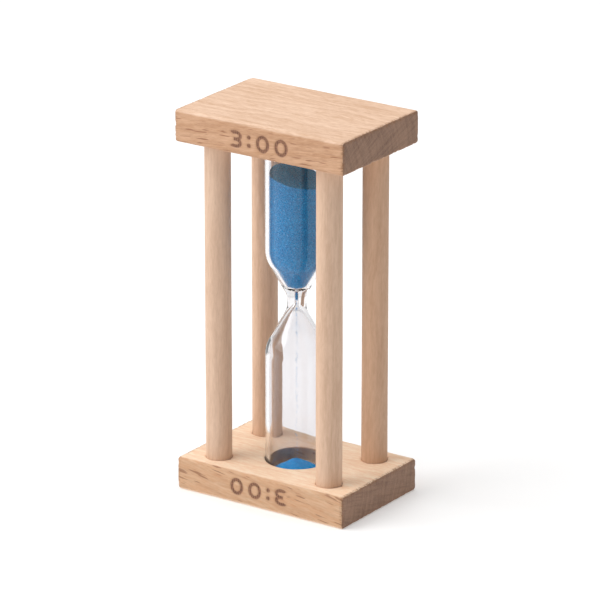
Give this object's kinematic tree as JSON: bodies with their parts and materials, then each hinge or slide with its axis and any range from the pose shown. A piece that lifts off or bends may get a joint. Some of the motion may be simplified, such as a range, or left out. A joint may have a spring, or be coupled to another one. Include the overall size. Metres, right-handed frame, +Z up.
{
  "type": "hourglass",
  "caption": "Small sand timer: a waisted glass vial of blue sand held upright between two beech plates that round dowels join.",
  "frame": {"origin": "centre of the footprint, on the surface that the timer stands on", "axes": "+Z up; X along the long side of the plates; the marked edges of the plates face -Y"},
  "size_m": [0.045, 0.03, 0.09],
  "materials": {
    "beech": "matte",
    "dowel_wood": "matte",
    "glass": "polished",
    "sand": "matte",
    "felt": "matte",
    "glue": "satin"
  },
  "bodies": {
    "frame": {"top_plate": "beech", "bottom_plate": "beech", "front_left_dowel": "dowel_wood", "front_right_dowel": "dowel_wood", "rear_left_dowel": "dowel_wood", "rear_right_dowel": "dowel_wood", "upper_dowel_glue": "glue", "lower_dowel_glue": "glue", "upper_vial_cushion": "felt", "lower_vial_cushion": "felt"},
    "vial": {"glass_vial": "glass", "upper_sand": "sand", "sand_stream": "sand", "lower_sand": "sand"}
  },
  "joints": [
    {"name": "vial_spin", "type": "hinge", "parent": "frame", "child": "vial", "pos_m": [0, 0, 0.045], "axis": [0, 0, 1], "continuous": true}
  ]
}
